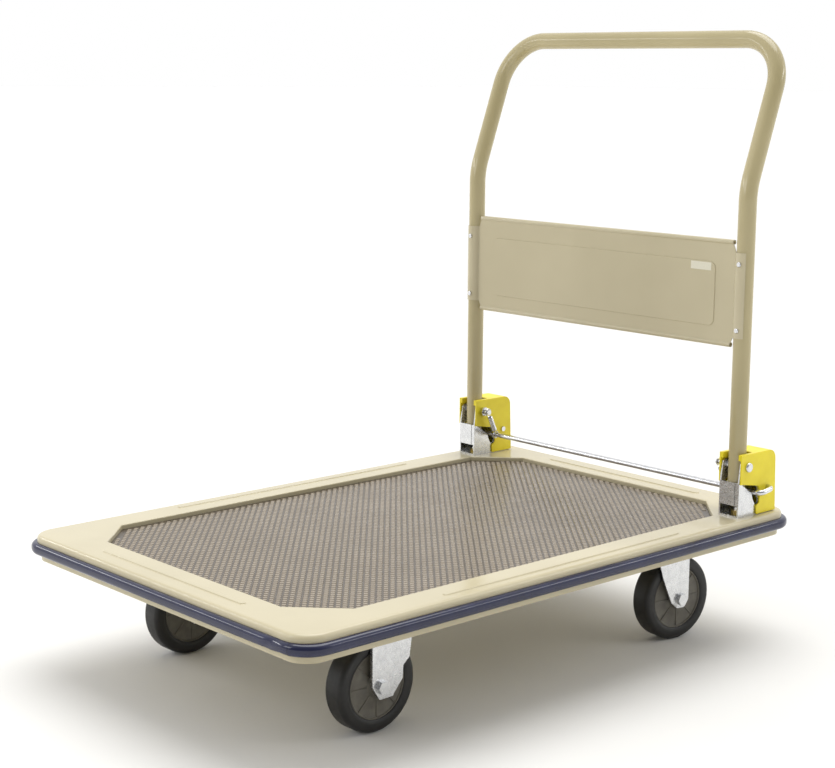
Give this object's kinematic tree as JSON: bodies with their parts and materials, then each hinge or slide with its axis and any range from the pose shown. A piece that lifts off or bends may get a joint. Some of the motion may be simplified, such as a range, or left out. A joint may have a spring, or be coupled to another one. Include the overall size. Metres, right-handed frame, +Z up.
{
  "type": "folding platform cart",
  "caption": "Folding platform cart: pressed deck with mat and wraparound bumper, hinged U handle with panel, foot release bar, fixed front and swivel rear casters.",
  "frame": {"origin": "on the floor, under the middle of the platform", "axes": "+X to the front, away from the handle; +Y to the cart's left; +Z up"},
  "size_m": [0.91, 0.61, 0.8555],
  "materials": {
    "cream_paint": "satin powder coat",
    "tube_paint": "satin powder coat",
    "mat_vinyl": "ribbed vinyl, semi-gloss",
    "bumper_vinyl": "glossy vinyl",
    "zinc_plate": "bright zinc plated",
    "zinc_fasteners": "bright zinc plated",
    "ball_steel": "polished",
    "cover_plastic": "moulded, satin",
    "spring_steel": "bright plated wire",
    "tyre_rubber": "moulded rubber",
    "hub_plastic": "moulded",
    "bushing_steel": "drawn steel",
    "yellow_passivated": "yellow passivated zinc",
    "bright_rod": "chrome plated",
    "label_vinyl": "printed label"
  },
  "bodies": {
    "platform": {"bracket_bolts": "zinc_fasteners", "bracket_nuts": "yellow_passivated", "bumper": "bumper_vinyl", "caster_bolts": "zinc_fasteners", "caster_nuts": "zinc_fasteners", "cross_channel_front": "cream_paint", "cross_channel_rear": "cream_paint", "deck_mat": "mat_vinyl", "deck_pan": "cream_paint", "frame_rail_front": "cream_paint", "frame_rail_left": "cream_paint", "frame_rail_rear": "cream_paint", "frame_rail_right": "cream_paint", "hinge_bracket_left": "zinc_plate", "hinge_bracket_right": "zinc_plate", "hinge_cover_left": "cover_plastic", "hinge_cover_right": "cover_plastic", "kingpin_nuts": "zinc_fasteners", "kingpins": "zinc_fasteners", "pivot_bolt_left": "zinc_fasteners", "pivot_bolt_right": "zinc_fasteners", "pivot_nuts": "zinc_fasteners", "release_spring_left": "spring_steel", "release_spring_right": "spring_steel", "rigid_axle_nuts": "zinc_fasteners", "rigid_axles": "zinc_fasteners", "rigid_fork_left": "zinc_plate", "rigid_fork_right": "zinc_plate", "stiffener_left": "cream_paint", "stiffener_right": "cream_paint", "swivel_plate_left": "zinc_plate", "swivel_plate_right": "zinc_plate"},
    "handle": {"handle_tube": "tube_paint", "handle_panel": "tube_paint", "panel_screws": "zinc_fasteners", "panel_label": "label_vinyl", "pivot_sleeves": "bushing_steel"},
    "release": {"release_bar": "bright_rod"},
    "swivel_left": {"swivel_fork_left": "zinc_plate", "swivel_balls_left": "ball_steel", "swivel_axle_left": "zinc_fasteners", "swivel_axle_nut_left": "zinc_fasteners"},
    "wheel_front_left": {"tyre_front_left": "tyre_rubber", "hub_front_left": "hub_plastic", "wheel_bushing_front_left": "bushing_steel"},
    "wheel_rear_left": {"tyre_rear_left": "tyre_rubber", "hub_rear_left": "hub_plastic", "wheel_bushing_rear_left": "bushing_steel"},
    "swivel_right": {"swivel_fork_right": "zinc_plate", "swivel_balls_right": "ball_steel", "swivel_axle_right": "zinc_fasteners", "swivel_axle_nut_right": "zinc_fasteners"},
    "wheel_front_right": {"tyre_front_right": "tyre_rubber", "hub_front_right": "hub_plastic", "wheel_bushing_front_right": "bushing_steel"},
    "wheel_rear_right": {"tyre_rear_right": "tyre_rubber", "hub_rear_right": "hub_plastic", "wheel_bushing_rear_right": "bushing_steel"}
  },
  "joints": [
    {"name": "handle_fold", "type": "hinge", "parent": "platform", "child": "handle", "pos_m": [-0.357, 0, 0.253], "axis": [0, 1, 0], "range_deg": [0, 90]},
    {"name": "release_press", "type": "hinge", "parent": "platform", "child": "release", "pos_m": [-0.403, 0, 0.218], "axis": [0, 1, 0], "range_deg": [0, 30], "stiffness_Nm_per_rad": 0.6, "springref_deg": -34.38, "deforming": ["release_spring_left", "release_spring_right"]},
    {"name": "wheel_front_left_spin", "type": "hinge", "parent": "platform", "child": "wheel_front_left", "pos_m": [0.262, 0.195, 0.0605], "axis": [0, 1, 0], "continuous": true},
    {"name": "caster_left_swivel", "type": "hinge", "parent": "platform", "child": "swivel_left", "pos_m": [-0.261, 0.2, 0.142], "axis": [0, 0, 1], "continuous": true},
    {"name": "wheel_rear_left_spin", "type": "hinge", "parent": "swivel_left", "child": "wheel_rear_left", "pos_m": [-0.29574, 0.20427, 0.0605], "axis": [0.1219, 0.9925, 0], "continuous": true},
    {"name": "wheel_front_right_spin", "type": "hinge", "parent": "platform", "child": "wheel_front_right", "pos_m": [0.262, -0.195, 0.0605], "axis": [0, 1, 0], "continuous": true},
    {"name": "caster_right_swivel", "type": "hinge", "parent": "platform", "child": "swivel_right", "pos_m": [-0.261, -0.2, 0.142], "axis": [0, 0, 1], "continuous": true},
    {"name": "wheel_rear_right_spin", "type": "hinge", "parent": "swivel_right", "child": "wheel_rear_right", "pos_m": [-0.29574, -0.19573, 0.0605], "axis": [0.1219, 0.9925, 0], "continuous": true}
  ]
}
